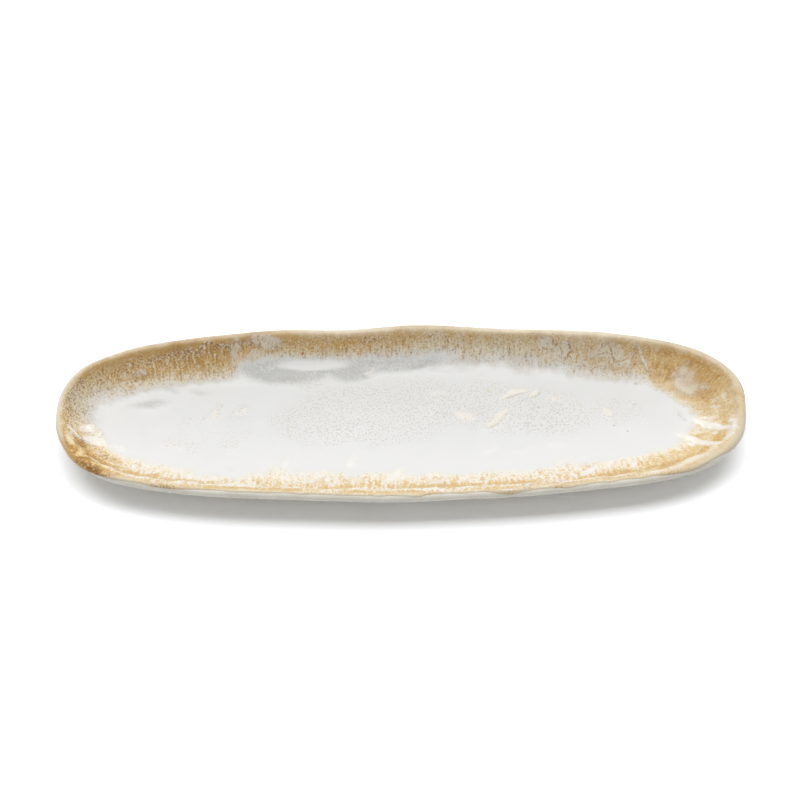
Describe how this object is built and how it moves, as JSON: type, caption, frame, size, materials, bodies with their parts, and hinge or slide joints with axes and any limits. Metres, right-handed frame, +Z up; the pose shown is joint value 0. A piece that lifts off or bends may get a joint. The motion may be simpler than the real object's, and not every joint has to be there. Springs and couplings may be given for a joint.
{
  "type": "oval serving platter",
  "caption": "Long, shallow oval serving platter in hand-shaped stoneware, with a white-glazed well, a tan reactive-glazed rim and a low foot ring to stand on.",
  "frame": {"origin": "on the surface that the platter stands on, under the middle of its outline", "axes": "+X along the platter's length, +Y across it towards the back, +Z up out of the well"},
  "size_m": [0.4074, 0.129, 0.0249],
  "materials": {
    "bare_clay": "unglazed, fine grained and matte",
    "white_glaze": "glossy, with cream speckle",
    "tan_glaze": "glossy, streaked where it ran",
    "cream_glaze": "satin"
  },
  "bodies": {
    "root": {"stoneware_body": "bare_clay", "foot_ring": "bare_clay", "well_glaze": "white_glaze", "rim_glaze": "tan_glaze", "outer_glaze": "cream_glaze"}
  },
  "joints": []
}
